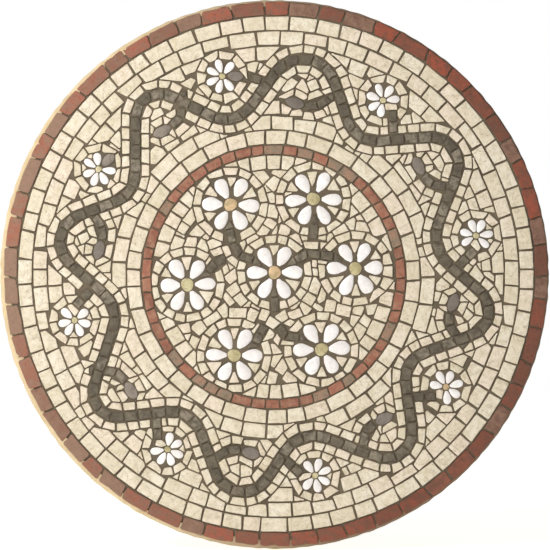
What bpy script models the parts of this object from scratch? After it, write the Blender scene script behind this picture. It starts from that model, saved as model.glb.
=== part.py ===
"""A round stone mosaic panel for a wall: a wavy vine of dark stones between two brick-red
courses, with a daisy in each bay, a tendril with a leaf in each crest and seven flowers
in the middle. Metres, +Z up, the face towards -Y, the origin at the middle of the back.

Everything is drawn lying flat, x to the right, y up and z out of the wall, and one empty
stands the drawing up."""

import math
import random

import bmesh
import bpy
import numpy as np
from mathutils import Vector

# The panel and its setting bed
PANEL_DIAMETER = 0.600
BED_THICKNESS = 0.008
RIM_LEAST = 0.0008
RIM_SETBACK = 0.0015
STONES_SHIFT = (0.0014, 0.0005)

# Every stone
STONE_THICKNESS = 0.010
SETTING_GAP = 0.0003
JOINT = 0.0014
GROOVE_DEPTH = 0.0018
COURSE_WANDER = 0.16

# The two brick-red courses
OUTER_COURSE_WIDTH = 0.0142
OUTER_COURSE_STONES = 58
INNER_COURSE_SHARE = 0.511
INNER_COURSE_WIDTH = 0.0096
INNER_COURSE_STONES = 50
INNER_COURSE_SHIFT = (-0.0012, -0.0027)

# The vine: each turn's clock angle, then its distance and its bend as shares of the field's
# radius. Crests and troughs take turns, and the first is a crest.
VINE_WIDTH = 0.0100
VINE_STONE_LENGTH = 0.0152
VINE_TURNS = (
    (8.8, 0.716, 0.130), (31.9, 0.737, 0.109), (54.9, 0.746, 0.105), (79.1, 0.787, 0.147),
    (100.9, 0.748, 0.099), (123.3, 0.730, 0.103), (144.7, 0.748, 0.103), (168.6, 0.773, 0.134),
    (189.5, 0.745, 0.110), (211.5, 0.762, 0.120), (233.0, 0.763, 0.095), (257.1, 0.758, 0.122),
    (279.9, 0.734, 0.109), (300.9, 0.758, 0.112), (323.8, 0.752, 0.095), (345.2, 0.740, 0.116),
)

# Tendrils and daisy stems, in the frame of their turn: along the vine, then outwards,
# as shares of the field's radius
TWIG_WIDTH = 0.0086
TWIG_STONE_LENGTH = 0.0135
TENDRIL = ((0.134, 0.034), (0.100, -0.012), (0.072, -0.040), (0.038, -0.055))
LEAF_PLACE = (-0.024, -0.047)
LEAF_LENGTH_SHARE = 0.0727
LEAF_WIDTH_SHARE = 0.0419
LEAF_SIDES = 8
LEAF_TURN = 172.0
DAISY_REACH = 0.795
DAISY_STEM_LEAN = 15.0
DAISY_STEM = ((0.052, -0.014), (0.082, -0.058), (0.125, -0.120))
DAISY_LEAF_LENGTH_SHARE = 0.0586
DAISY_LEAF_WIDTH_SHARE = 0.0373
DAISIES_WITH_LEAVES = {7: (), 8: ((0.106, -0.030), (0.180, -0.078))}

# Petals: a drop with its narrow end at the heart stone. A daisy's sizes are shares of the
# field's radius, and a flower's are shares of the inner course's radius.
DAISY_PETAL_LENGTH_SHARE = 0.0532
DAISY_PETAL_WIDTH_SHARE = 0.0298
DAISY_HEART_SHARE = 0.0128
DAISY_PLACES = 7
FLOWER_PETAL_LENGTH_SHARE = 0.1667
FLOWER_PETAL_WIDTH_SHARE = 0.1042
FLOWER_HEART_SHARE = 0.0507
PETALS = 6
PETAL_DOME = 0.0016
DOME_INSET = 0.30

# A petal's shape from its neck to its tip: the share of its length, then half its width there
# as a share of the whole width
DAISY_PETAL_SHAPE = ((0.0, 0.16), (0.62, 0.50), (0.93, 0.26))
FLOWER_PETAL_SHAPE = ((0.0, 0.14), (0.42, 0.41), (0.74, 0.50), (0.98, 0.20))

# The seven flowers: place as shares of the inner course's radius, and turn in degrees
FLOWERS = {
    "middle": (0.008, 0.034, 0.0),
    "upper_left": (-0.326, 0.549, -2.0),
    "upper_right": (0.302, 0.593, 3.0),
    "right": (0.621, 0.064, 2.0),
    "lower_right": (0.363, -0.550, 1.0),
    "lower_left": (-0.298, -0.595, 0.0),
    "left": (-0.654, -0.059, 2.0),
}

# Stems in the middle: where each starts and ends, as a flower and a direction between two
# of its petals or as a bare place, with the bends between
FLOWER_STEMS = {
    "upper_left": (("upper_left", 270), (-0.307, 0.250), (-0.258, 0.165), ("middle", 150)),
    "left": ((-0.360, 0.142), (-0.425, 0.121), ("left", 30)),
    "upper_right": (("upper_right", 270), (0.298, 0.285)),
    "right": (("middle", 30), (0.247, 0.175), (0.345, 0.167), ("right", 150)),
    "trunk": (("middle", 270), (0.012, -0.270)),
    "lower_left": ((-0.060, -0.365), (-0.108, -0.443), ("lower_left", 30)),
    "lower_right": ((0.036, -0.372), (0.090, -0.443), ("lower_right", 150)),
}
STEM_END_SHARE = 0.86

# Colours of the real stones, as sRGB hex
CEMENT = "D9C49C"
BRICK = "A0604C"
CREAM = "E6D9BB"
WHITE = "F5F1EC"
VINE_GREY = "6A6458"
LEAF_GREY = "7F7670"

PANEL_RADIUS = PANEL_DIAMETER / 2
STONES_RADIUS = PANEL_RADIUS - RIM_LEAST - math.hypot(*STONES_SHIFT) - SETTING_GAP
FIELD_RADIUS = STONES_RADIUS - OUTER_COURSE_WIDTH - JOINT
INNER_COURSE_RADIUS = INNER_COURSE_SHARE * FIELD_RADIUS
LEAF_LENGTH = LEAF_LENGTH_SHARE * FIELD_RADIUS
LEAF_WIDTH = LEAF_WIDTH_SHARE * FIELD_RADIUS
DAISY_LEAF_LENGTH = DAISY_LEAF_LENGTH_SHARE * FIELD_RADIUS
DAISY_LEAF_WIDTH = DAISY_LEAF_WIDTH_SHARE * FIELD_RADIUS
DAISY_PETAL_LENGTH = DAISY_PETAL_LENGTH_SHARE * FIELD_RADIUS
DAISY_PETAL_WIDTH = DAISY_PETAL_WIDTH_SHARE * FIELD_RADIUS
DAISY_HEART_RADIUS = DAISY_HEART_SHARE * FIELD_RADIUS
FLOWER_PETAL_LENGTH = FLOWER_PETAL_LENGTH_SHARE * INNER_COURSE_RADIUS
FLOWER_PETAL_WIDTH = FLOWER_PETAL_WIDTH_SHARE * INNER_COURSE_RADIUS
FLOWER_HEART_RADIUS = FLOWER_HEART_SHARE * INNER_COURSE_RADIUS
STONE_BOTTOM = BED_THICKNESS + SETTING_GAP
STONE_TOP = STONE_BOTTOM + STONE_THICKNESS
CUT_BELOW = STONE_BOTTOM - 0.002
CUT_ABOVE = STONE_TOP + 0.002
FINE_STEP = 0.001
BED_SIDES = 96
CIRCLE_SIDES = 60
HOLE_SIDES = 16
DAISY_HOLE_SIDES = 12


def clear_scene():
    for obj in list(bpy.data.objects):
        bpy.data.objects.remove(obj, do_unlink=True)


def linear(hex_colour):
    parts = [int(hex_colour[i:i + 2], 16) / 255 for i in (0, 2, 4)]
    return [p / 12.92 if p <= 0.04045 else ((p + 0.055) / 1.055) ** 2.4 for p in parts] + [1.0]


def finish(obj, hex_colour, roughness):
    material = bpy.data.materials.new(obj.name)
    material.use_nodes = True
    shader = material.node_tree.nodes["Principled BSDF"]
    shader.inputs["Base Color"].default_value = linear(hex_colour)
    shader.inputs["Roughness"].default_value = roughness
    material.diffuse_color = linear(hex_colour)
    obj.data.materials.append(material)


def object_from(mesh_builder, name, wall):
    """Turns a bmesh into an object on the wall's empty, its faces outwards."""
    bmesh.ops.recalc_face_normals(mesh_builder, faces=mesh_builder.faces[:])
    mesh = bpy.data.meshes.new(name)
    mesh_builder.to_mesh(mesh)
    mesh_builder.free()
    obj = bpy.data.objects.new(name, mesh)
    bpy.context.scene.collection.objects.link(obj)
    obj.parent = wall
    return obj


# Places and paths on the drawing

def on_clock(angle, reach):
    """The place at a clock angle (degrees clockwise from the top) and a distance."""
    turn = math.radians(angle)
    return np.array([math.sin(turn), math.cos(turn)]) * reach


def in_turn_frame(angle, reach, along, out):
    """The place `along` (clockwise) and `out` from the one at a clock angle and reach, all
    three lengths as shares of the field's radius."""
    clockwise = on_clock(angle + 90, along)
    return (on_clock(angle, reach + out) + clockwise) * FIELD_RADIUS


def circle(centre, radius, sides):
    """A polygon with its corners on a circle, counter-clockwise."""
    turns = np.linspace(0, 2 * math.pi, sides, endpoint=False)
    return np.asarray(centre) + radius * np.c_[np.cos(turns), np.sin(turns)]


def hole(centre, radius, sides):
    """A polygon with its sides on a circle, so that a disc of that radius fits in it."""
    return circle(centre, radius / math.cos(math.pi / sides), sides)


def spread(path, count, closed=False):
    """`count` equal lengths along a path: their ends, without the last on a closed one."""
    path = np.asarray(path)
    if closed:
        path = np.vstack([path, path[:1]])
    travelled = np.r_[0, np.cumsum(np.hypot(*np.diff(path, axis=0).T))]
    marks = np.linspace(0, travelled[-1], count + 1)[:count if closed else count + 1]
    return np.c_[np.interp(marks, travelled, path[:, 0]), np.interp(marks, travelled, path[:, 1])]


def length_of(path):
    return float(np.hypot(*np.diff(path, axis=0).T).sum())


def smooth(points):
    """A Catmull-Rom curve through a few points, as a finely divided path."""
    points = np.asarray(points, float)
    ends = np.vstack([2 * points[0] - points[1], points, 2 * points[-1] - points[-2]])
    t = np.linspace(0, 1, 24, endpoint=False)[:, None]
    pieces = []
    for a, b, c, d in zip(ends, ends[1:], ends[2:], ends[3:]):
        curve = 2 * b + (c - a) * t + (2 * a - 5 * b + 4 * c - d) * t**2 + (3 * b - a - 3 * c + d) * t**3
        pieces.append(curve / 2)
    return np.vstack(pieces + [points[-1:]])


def across(path, closed=False):
    """The unit vector to the left of the path at each of its points."""
    if closed:
        step = np.roll(path, -1, axis=0) - np.roll(path, 1, axis=0)
    else:
        step = np.gradient(path, axis=0)
    return np.c_[-step[:, 1], step[:, 0]] / np.hypot(*step.T)[:, None]


def vine_path():
    """The vine's middle line: a belt round the turns, crests clockwise and troughs against."""
    centres = np.array([on_clock(angle, share * FIELD_RADIUS) for angle, share, _ in VINE_TURNS])
    bends = np.array([bend * FIELD_RADIUS for _, _, bend in VINE_TURNS])
    bends[0::2] *= -1
    ahead = np.roll(centres, -1, axis=0) - centres
    swing = np.roll(bends, -1) - bends
    straight = np.sqrt((ahead**2).sum(axis=1) - swing**2)
    heading = np.arctan2(ahead[:, 1], ahead[:, 0]) - np.arctan2(swing, straight)
    path = []
    for i, bend in enumerate(bends):
        turned = (heading[i] - heading[i - 1]) % (2 * math.pi) - (2 * math.pi if bend < 0 else 0)
        count = max(3, int(abs(turned * bend) / FINE_STEP))
        course = heading[i - 1] + np.linspace(0, turned, count)
        path.append(centres[i] - bend * np.c_[-np.sin(course), np.cos(course)])
    path = np.vstack(path)
    return spread(path, int(length_of(path) / FINE_STEP), closed=True)


def channel_along(marks, width, lengthen):
    """The outline of a band along an open row of marks, each end moved out by `lengthen`."""
    side = across(marks) * width / 2
    ends = np.zeros_like(marks)
    ends[0] = marks[0] - marks[1]
    ends[-1] = marks[-1] - marks[-2]
    ends[[0, -1]] *= lengthen / np.hypot(*ends[[0, -1]].T)[:, None]
    return np.vstack([marks + ends + side, (marks + ends - side)[::-1]])


# Solids

def prism(mesh_builder, outline, bottom, top):
    face = mesh_builder.faces.new([mesh_builder.verts.new((x, y, bottom)) for x, y in outline])
    made = bmesh.ops.extrude_face_region(mesh_builder, geom=[face])["geom"]
    raised = [v for v in made if isinstance(v, bmesh.types.BMVert)]
    bmesh.ops.translate(mesh_builder, verts=raised, vec=Vector((0, 0, top - bottom)))


def prisms(name, wall, outlines, bottom, top):
    mesh_builder = bmesh.new()
    for outline in outlines:
        prism(mesh_builder, outline, bottom, top)
    return object_from(mesh_builder, name, wall)


def slab(name, wall, outline):
    obj = prisms(name, wall, [outline], STONE_BOTTOM, STONE_TOP)
    finish(obj, CREAM, 0.6)
    return obj


def cut(obj, name, wall, outlines, bottom=CUT_BELOW, top=CUT_ABOVE, keep="DIFFERENCE"):
    """Takes prisms away from an object or, with keep as INTERSECT, keeps only what is in them."""
    cutter = prisms(f"{name}_cutter", wall, outlines, bottom, top)
    cutter.hide_render = True
    cutter.display_type = "WIRE"
    modifier = obj.modifiers.new(name, "BOOLEAN")
    modifier.operation = keep
    modifier.object = cutter


def course(name, wall, left, right, closed, hex_colour, roughness):
    """A row of straight-sided stones fused at their joints, with a V groove at each joint.
    `left` and `right` hold the two ends of every joint line."""
    mesh_builder = bmesh.new()
    joints = len(left)
    stones = joints if closed else joints - 1

    def vertex(place, height):
        return mesh_builder.verts.new((place[0], place[1], height))

    low = [[vertex(side[i], STONE_BOTTOM) for side in (left, right)] for i in range(joints)]
    groove = [[vertex(side[i], STONE_TOP - GROOVE_DEPTH) for side in (left, right)] for i in range(joints)]
    for i in range(stones):
        j = (i + 1) % joints
        starts = []
        ends = []
        for side in (left, right):
            along = side[j] - side[i]
            along = along / np.hypot(*along) * JOINT / 2
            starts.append(vertex(side[i] + along, STONE_TOP))
            ends.append(vertex(side[j] - along, STONE_TOP))
        for s in (0, 1):
            mesh_builder.faces.new((low[i][s], low[j][s], groove[j][s], ends[s], starts[s], groove[i][s]))
        mesh_builder.faces.new((starts[0], starts[1], ends[1], ends[0]))
        mesh_builder.faces.new((low[i][0], low[i][1], low[j][1], low[j][0]))
        mesh_builder.faces.new((groove[i][0], groove[i][1], starts[1], starts[0]))
        mesh_builder.faces.new((ends[0], ends[1], groove[j][1], groove[j][0]))
    if not closed:
        for i in (0, joints - 1):
            mesh_builder.faces.new((low[i][0], low[i][1], groove[i][1], groove[i][0]))
    obj = object_from(mesh_builder, name, wall)
    finish(obj, hex_colour, roughness)
    return obj


def ring_course(name, wall, centre, outside, width, count, seed):
    """A closed course on a circle, with stones of uneven length and joints a little askew."""
    chance = random.Random(seed)
    step = 2 * math.pi / count
    turns = [(i + chance.uniform(-COURSE_WANDER, COURSE_WANDER)) * step for i in range(count)]
    lean = [chance.uniform(-COURSE_WANDER, COURSE_WANDER) * step / 3 for _ in range(count)]
    left = [circle_point(centre, outside, t + d) for t, d in zip(turns, lean)]
    right = [circle_point(centre, outside - width, t - d) for t, d in zip(turns, lean)]
    course(name, wall, left, right, True, BRICK, 0.7)


def circle_point(centre, radius, turn):
    return np.asarray(centre) + radius * np.array([math.cos(turn), math.sin(turn)])


def leaf_outline(centre, turn, length, width):
    """An eight-sided lens whose long axis points along `turn` radians."""
    angles = np.linspace(0, 2 * math.pi, LEAF_SIDES, endpoint=False)
    ahead = np.array([math.cos(turn), math.sin(turn)])
    left = np.array([-ahead[1], ahead[0]])
    along = np.cos(angles)[:, None] * ahead * length / 2
    aside = np.sin(angles)[:, None] * left * width / 2
    return np.asarray(centre) + along + aside


def petal_loop(centre, turn, neck, length, width, shape):
    """One petal's outline: out along its right side, round the tip and back to the neck."""
    ahead = np.array([math.cos(turn), math.sin(turn)])
    left = np.array([-ahead[1], ahead[0]])
    right_side = [(neck + along * length, -half * width) for along, half in shape]
    left_side = [(along, -aside) for along, aside in reversed(right_side)]
    return [np.asarray(centre) + along * ahead + aside * left for along, aside in right_side + left_side]


def cap(mesh_builder, rim, dome):
    """Closes a rim. With a dome, the top is set in from the rim and raised by it."""
    if dome == 0:
        mesh_builder.faces.new(rim)
        return
    middle = sum((v.co for v in rim), Vector()) / len(rim)
    raised = [mesh_builder.verts.new(v.co.lerp(middle, DOME_INSET) + Vector((0, 0, dome))) for v in rim]
    for i, v in enumerate(rim):
        mesh_builder.faces.new((raised[i - 1], rim[i - 1], v, raised[i]))
    mesh_builder.faces.new(raised)


def flower(name, wall, centre, turns, heart, length, width, shape, dome):
    """Petals and the heart stone as one solid, the petals in counter-clockwise order."""
    mesh_builder = bmesh.new()
    neck = heart * math.cos(math.asin(shape[0][1] * width / heart))
    loops = [petal_loop(centre, turn, neck, length + heart - neck, width, shape) for turn in turns]
    lows = [[mesh_builder.verts.new((x, y, STONE_BOTTOM)) for x, y in loop] for loop in loops]
    rims = [[mesh_builder.verts.new((x, y, STONE_TOP - dome)) for x, y in loop] for loop in loops]
    around_low = [v for low in lows for v in low]
    around_rim = [v for rim in rims for v in rim]
    mesh_builder.faces.new(around_low)
    for i, v in enumerate(around_low):
        mesh_builder.faces.new((around_low[i - 1], v, around_rim[i], around_rim[i - 1]))
    for rim in rims:
        cap(mesh_builder, rim, dome)
    cap(mesh_builder, [v for rim in rims for v in (rim[0], rim[-1])], dome)
    finish(object_from(mesh_builder, name, wall), WHITE, 0.35)


# The panel's pieces

def make_bed(wall):
    """The cement tray: a disc whose low rim is wider on the left, where the stones sit off centre."""
    bed = prisms("mortar_bed", wall, [circle((0, 0), PANEL_RADIUS, BED_SIDES)], 0, STONE_TOP - RIM_SETBACK)
    finish(bed, CEMENT, 0.9)
    recess = hole(STONES_SHIFT, STONES_RADIUS + SETTING_GAP, BED_SIDES)
    cut(bed, "stones_recess", wall, [recess], BED_THICKNESS, CUT_ABOVE)


def make_courses(wall):
    ring_course(
        "outer_brick_course", wall, STONES_SHIFT, STONES_RADIUS,
        OUTER_COURSE_WIDTH, OUTER_COURSE_STONES, seed=3,
    )
    ring_course(
        "inner_brick_course", wall, INNER_COURSE_SHIFT, INNER_COURSE_RADIUS,
        INNER_COURSE_WIDTH, INNER_COURSE_STONES, seed=8,
    )


def make_vine(wall, path):
    """Lays the vine. Returns the edges that its neighbours keep to, outer side first."""
    marks = spread(path, round(length_of(path) / VINE_STONE_LENGTH), closed=True)
    left = across(marks, closed=True)
    side = left * VINE_WIDTH / 2
    course("vine", wall, marks + side, marks - side, True, VINE_GREY, 0.6)
    return marks + side + left * JOINT, marks - side - left * JOINT


def lay_twig(name, wall, path):
    """Lays a twig's stones. Returns them, and the channel that their neighbours leave."""
    marks = spread(path, max(1, round(length_of(path) / TWIG_STONE_LENGTH)))
    side = across(marks) * TWIG_WIDTH / 2
    stones = course(name, wall, marks + side, marks - side, False, VINE_GREY, 0.6)
    return stones, channel_along(marks, TWIG_WIDTH + 2 * JOINT, lengthen=TWIG_WIDTH)


def lay_leaf(name, wall, place, turn, length, width):
    """Lays a leaf stone. Returns the hole that its neighbours leave for it."""
    leaf = prisms(name, wall, [leaf_outline(place, turn, length, width)], STONE_BOTTOM, STONE_TOP)
    finish(leaf, LEAF_GREY, 0.5)
    return leaf_outline(place, turn, length + 2 * JOINT, width + 2 * JOINT)


def make_tendrils(wall, inner_edge):
    """A hooked tendril inside each crest, ending in a leaf. Returns their channels and holes.
    Its first stone is cut along the vine's inner edge."""
    channels = []
    holes = []
    for i, (angle, share, _) in enumerate(VINE_TURNS[0::2], start=1):
        points = [in_turn_frame(angle, share, along, out) for along, out in (*TENDRIL, LEAF_PLACE)]
        place = points[-1]
        path = smooth(points)
        path = path[np.hypot(*(path - place).T) > LEAF_LENGTH / 2 + JOINT]
        tendril, channel = lay_twig(f"tendril_{i}", wall, path)
        cut(tendril, f"tendril_{i}_end", wall, [inner_edge], keep="INTERSECT")
        channels.append(channel)
        turn = math.radians(LEAF_TURN - angle)
        holes.append(lay_leaf(f"leaf_{i}", wall, place, turn, LEAF_LENGTH, LEAF_WIDTH))
    return channels, holes


def make_daisies(wall, outer_edge):
    """A six-petalled daisy outside each trough, with its stem or a leaf in a seventh place.
    The stem's last stone is cut along the vine's outer edge."""
    channels = []
    leaf_holes = []
    daisy_holes = []
    reach = DAISY_HEART_RADIUS + DAISY_PETAL_LENGTH
    for i, (angle, _, _) in enumerate(VINE_TURNS[1::2], start=1):
        centre = on_clock(angle, DAISY_REACH * FIELD_RADIUS)
        open_place = math.radians(-angle - DAISY_STEM_LEAN)
        turns = [open_place + 2 * math.pi * k / DAISY_PLACES for k in range(1, PETALS + 1)]
        flower(
            f"daisy_{i}", wall, centre, turns, DAISY_HEART_RADIUS,
            DAISY_PETAL_LENGTH, DAISY_PETAL_WIDTH, DAISY_PETAL_SHAPE, dome=0,
        )
        daisy_holes.append(hole(centre, reach + JOINT, DAISY_HOLE_SIDES))
        if i in DAISIES_WITH_LEAVES:
            ahead = np.array([math.cos(open_place), math.sin(open_place)])
            place = centre + ahead * (DAISY_HEART_RADIUS + JOINT * 2 + DAISY_LEAF_LENGTH / 2)
            leaf_holes.append(
                lay_leaf(f"daisy_leaf_{i}", wall, place, open_place, DAISY_LEAF_LENGTH, DAISY_LEAF_WIDTH)
            )
        stem = DAISIES_WITH_LEAVES.get(i, DAISY_STEM)
        if stem:
            points = [in_turn_frame(angle, DAISY_REACH, along, out) for along, out in stem]
            stones, channel = lay_twig(f"daisy_stem_{i}", wall, smooth(points))
            cut(stones, f"daisy_stem_{i}_end", wall, [outer_edge])
            channels.append(channel)
    return channels, leaf_holes, daisy_holes


def make_flowers(wall):
    """The seven flowers. Returns each one's middle and turn, and the holes left for them."""
    places = {}
    for name, (x, y, turn) in FLOWERS.items():
        centre = np.array(INNER_COURSE_SHIFT) + np.array([x, y]) * INNER_COURSE_RADIUS
        places[name] = (centre, turn)
        turns = [math.radians(turn + 360 * k / PETALS) for k in range(PETALS)]
        flower(
            f"flower_{name}", wall, centre, turns, FLOWER_HEART_RADIUS,
            FLOWER_PETAL_LENGTH, FLOWER_PETAL_WIDTH, FLOWER_PETAL_SHAPE, PETAL_DOME,
        )
    reach = FLOWER_HEART_RADIUS + FLOWER_PETAL_LENGTH + JOINT
    return places, [hole(centre, reach, HOLE_SIDES) for centre, _ in places.values()]


def stem_point(step, flowers):
    """A bare place, or the end of a stem between two petals of a flower."""
    first, second = step
    if isinstance(first, str):
        centre, turn = flowers[first]
        reach = (FLOWER_HEART_RADIUS + FLOWER_PETAL_LENGTH) * STEM_END_SHARE
        return circle_point(centre, reach, math.radians(second + turn))
    return np.array(INNER_COURSE_SHIFT) + np.array(step) * INNER_COURSE_RADIUS


def make_flower_stems(wall, flowers):
    channels = []
    for name, steps in FLOWER_STEMS.items():
        path = smooth([stem_point(step, flowers) for step in steps])
        channels.append(lay_twig(f"flower_stem_{name}", wall, path)[1])
    return channels


def make_fields(wall, outer_edge, inner_edge, outside_cuts, inside_cuts, middle_cuts):
    """The three cream fields, each one slab. Their single stones are too many for solids."""
    outer = slab("outer_field", wall, circle(STONES_SHIFT, FIELD_RADIUS, CIRCLE_SIDES))
    cut(outer, "vine_side", wall, [outer_edge])
    inner = slab("inner_field", wall, inner_edge)
    ring = hole(INNER_COURSE_SHIFT, INNER_COURSE_RADIUS + JOINT, CIRCLE_SIDES)
    cut(inner, "course_side", wall, [ring])
    inside = INNER_COURSE_RADIUS - INNER_COURSE_WIDTH - JOINT
    middle = slab("middle_field", wall, circle(INNER_COURSE_SHIFT, inside, CIRCLE_SIDES))
    for obj, cuts in ((outer, outside_cuts), (inner, inside_cuts), (middle, middle_cuts)):
        for i, outlines in enumerate(cuts, start=1):
            cut(obj, f"{obj.name}_cut_{i}", wall, outlines)


def make_panel():
    clear_scene()
    wall = bpy.data.objects.new("wall", None)
    wall.rotation_euler.x = math.radians(90)
    bpy.context.scene.collection.objects.link(wall)
    make_bed(wall)
    make_courses(wall)
    outer_edge, inner_edge = make_vine(wall, vine_path())
    inside_cuts = make_tendrils(wall, inner_edge)
    outside_cuts = make_daisies(wall, outer_edge)
    flowers, flower_holes = make_flowers(wall)
    stem_cuts = [[channel] for channel in make_flower_stems(wall, flowers)]
    make_fields(wall, outer_edge, inner_edge, outside_cuts, inside_cuts, [flower_holes, *stem_cuts])


make_panel()
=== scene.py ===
"""The looks of a round stone mosaic panel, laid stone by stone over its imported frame.

The panel is drawn lying flat, x to the right, y up and the height out of the wall, in metres.
stand_up() then turns that drawing into the frame's own axes, with the face towards -Y."""

import math
import random

import bpy
import numpy as np
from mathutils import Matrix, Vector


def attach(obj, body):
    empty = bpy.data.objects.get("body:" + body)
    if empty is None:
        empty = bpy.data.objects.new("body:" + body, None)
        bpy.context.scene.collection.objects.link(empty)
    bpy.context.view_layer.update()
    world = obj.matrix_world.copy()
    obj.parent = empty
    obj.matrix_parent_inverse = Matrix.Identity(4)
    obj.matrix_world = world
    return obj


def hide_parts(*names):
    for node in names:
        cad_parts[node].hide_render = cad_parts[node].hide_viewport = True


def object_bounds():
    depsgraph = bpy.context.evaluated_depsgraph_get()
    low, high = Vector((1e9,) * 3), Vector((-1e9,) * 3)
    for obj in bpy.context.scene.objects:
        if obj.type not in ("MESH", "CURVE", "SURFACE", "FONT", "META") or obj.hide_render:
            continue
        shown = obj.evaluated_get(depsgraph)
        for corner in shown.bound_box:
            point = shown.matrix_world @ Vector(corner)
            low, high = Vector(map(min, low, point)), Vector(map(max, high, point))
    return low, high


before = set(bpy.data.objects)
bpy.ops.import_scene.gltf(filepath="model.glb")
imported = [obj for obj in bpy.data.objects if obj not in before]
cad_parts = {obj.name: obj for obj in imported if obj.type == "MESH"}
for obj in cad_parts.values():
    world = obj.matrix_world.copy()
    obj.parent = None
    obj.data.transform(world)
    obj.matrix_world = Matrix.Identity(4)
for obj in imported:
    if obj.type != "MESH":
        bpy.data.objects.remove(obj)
cad_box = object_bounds()

# The view and the studio. The camera looks square at the face through a long lens, so that the
# round panel just fills the frame. A soft light stands close by on the upper left, so that the
# light falls off to the right, and the floor is a white light table.
PANEL_DIAMETER = 0.600
PANEL_IN_FRAME = 549.2 / 550
PANEL_OFF_CENTRE = (-0.00044, 0.00055)
LENS = 200.0
SENSOR = 36.0
RIM_FACE = -0.0168
FLOOR_REACH = 4.0
FLOOR_COLOUR = "FAFAF8"
FLOOR_GLOW = 0.66
STUDIO_LIGHT = 0.42
SOFTBOX_SIZE = 0.55
SOFTBOX_POWER = 16.5
SOFTBOX_COLOUR = (1.0, 0.98, 0.95)
SOFTBOX_PLACE = (-0.95, -1.0, 0.75)
SOFTBOX_TURN = (math.radians(61), 0, math.radians(-43))


def linear(hex_colour):
    """sRGB hex to linear red, green, blue and alpha."""
    parts = np.array([int(hex_colour[i:i + 2], 16) / 255 for i in (0, 2, 4)])
    return (*np.where(parts <= 0.04045, parts / 12.92, ((parts + 0.055) / 1.055) ** 2.4), 1.0)


def add(tree, kind, settings=(), links=()):
    """Adds a node. A setting goes to the node's property or, if it has none of that name, to its
    socket. A link runs from another node's output to the socket it names."""
    node = tree.nodes.new(kind)
    for key, value in dict(settings).items():
        if isinstance(key, str) and hasattr(node, key):
            setattr(node, key, value)
        else:
            node.inputs[key].default_value = value
    for key, source in dict(links).items():
        tree.links.new(source, node.inputs[key])
    return node


def mesh_object(name, points, faces, smooth=False):
    """A mesh object from arrays: points (n, 3), and faces as a list of arrays of one row each."""
    mesh = bpy.data.meshes.new(name)
    mesh.from_pydata(points, [], [row for block in faces for row in block.tolist()])
    mesh.polygons.foreach_set("use_smooth", np.full(len(mesh.polygons), smooth))
    mesh.update()
    obj = bpy.data.objects.new(name, mesh)
    bpy.context.scene.collection.objects.link(obj)
    return obj


def start_material(name):
    """A new material: itself, its node tree, and each point's place on the object."""
    material = bpy.data.materials.new(name)
    material.use_nodes = True
    tree = material.node_tree
    return material, tree, add(tree, "ShaderNodeTexCoord").outputs["Object"]


def mix_in(tree, share, below, colour):
    """Lays a colour over the one below, as far as `share` says. Gives the mixed colour."""
    settings = {"data_type": "RGBA", 7: linear(colour)}
    links = {0: share}
    if isinstance(below, str):
        settings[6] = linear(below)
    else:
        links[6] = below
    return add(tree, "ShaderNodeMix", settings, links).outputs[2]


def end_material(tree, colour, height, strength, distance, roughness):
    """Joins the colour, a bump as deep as `distance` and the roughness to the surface."""
    shader = tree.nodes["Principled BSDF"]
    bump = add(tree, "ShaderNodeBump", {"Strength": strength, "Distance": distance}, {"Height": height})
    tree.links.new(colour, shader.inputs["Base Color"])
    tree.links.new(bump.outputs[0], shader.inputs["Normal"])
    shader.inputs["Roughness"].default_value = roughness


camera = bpy.data.objects.new("camera", bpy.data.cameras.new("camera"))
camera.data.lens = LENS
camera.data.sensor_width = SENSOR
camera.data.clip_end = 50
reach = PANEL_DIAMETER / PANEL_IN_FRAME * LENS / SENSOR
camera.location = (-PANEL_OFF_CENTRE[0], RIM_FACE - reach, -PANEL_OFF_CENTRE[1])
camera.rotation_euler = (math.pi / 2, 0, 0)
bpy.context.scene.collection.objects.link(camera)
bpy.context.scene.camera = camera
bpy.context.scene.view_settings.view_transform = "Standard"

world = bpy.data.worlds.new("white_studio")
world.use_nodes = True
world.node_tree.nodes.clear()
seen = add(world.node_tree, "ShaderNodeLightPath")
lit = add(
    world.node_tree, "ShaderNodeBackground", {"Color": linear("F8F8FA"), "Strength": STUDIO_LIGHT}
)
shown = add(world.node_tree, "ShaderNodeBackground", {"Color": (1, 1, 1, 1), "Strength": 1.0})
both = add(
    world.node_tree, "ShaderNodeMixShader", {},
    {0: seen.outputs["Is Camera Ray"], 1: lit.outputs[0], 2: shown.outputs[0]},
)
add(world.node_tree, "ShaderNodeOutputWorld", {}, {"Surface": both.outputs[0]})
bpy.context.scene.world = world

softbox = bpy.data.objects.new("softbox", bpy.data.lights.new("softbox", "AREA"))
softbox.data.shape = "DISK"
softbox.data.size = SOFTBOX_SIZE
softbox.data.energy = SOFTBOX_POWER
softbox.data.color = SOFTBOX_COLOUR
softbox.location = SOFTBOX_PLACE
softbox.rotation_euler = SOFTBOX_TURN
bpy.context.scene.collection.objects.link(softbox)

corners = np.array([(-1, -1), (1, -1), (1, 1), (-1, 1)]) * FLOOR_REACH
floor_level = cad_box[0][2] - 0.001
floor = mesh_object("floor", np.c_[corners, np.full(4, floor_level)], [np.array([[0, 1, 2, 3]])])
acrylic = bpy.data.materials.new("white_acrylic")
acrylic.use_nodes = True
shader = acrylic.node_tree.nodes["Principled BSDF"]
shader.inputs["Base Color"].default_value = linear(FLOOR_COLOUR)
shader.inputs["Roughness"].default_value = 0.9
shader.inputs["Emission Color"].default_value = linear(FLOOR_COLOUR)
shader.inputs["Emission Strength"].default_value = FLOOR_GLOW
floor.data.materials.append(acrylic)

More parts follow.
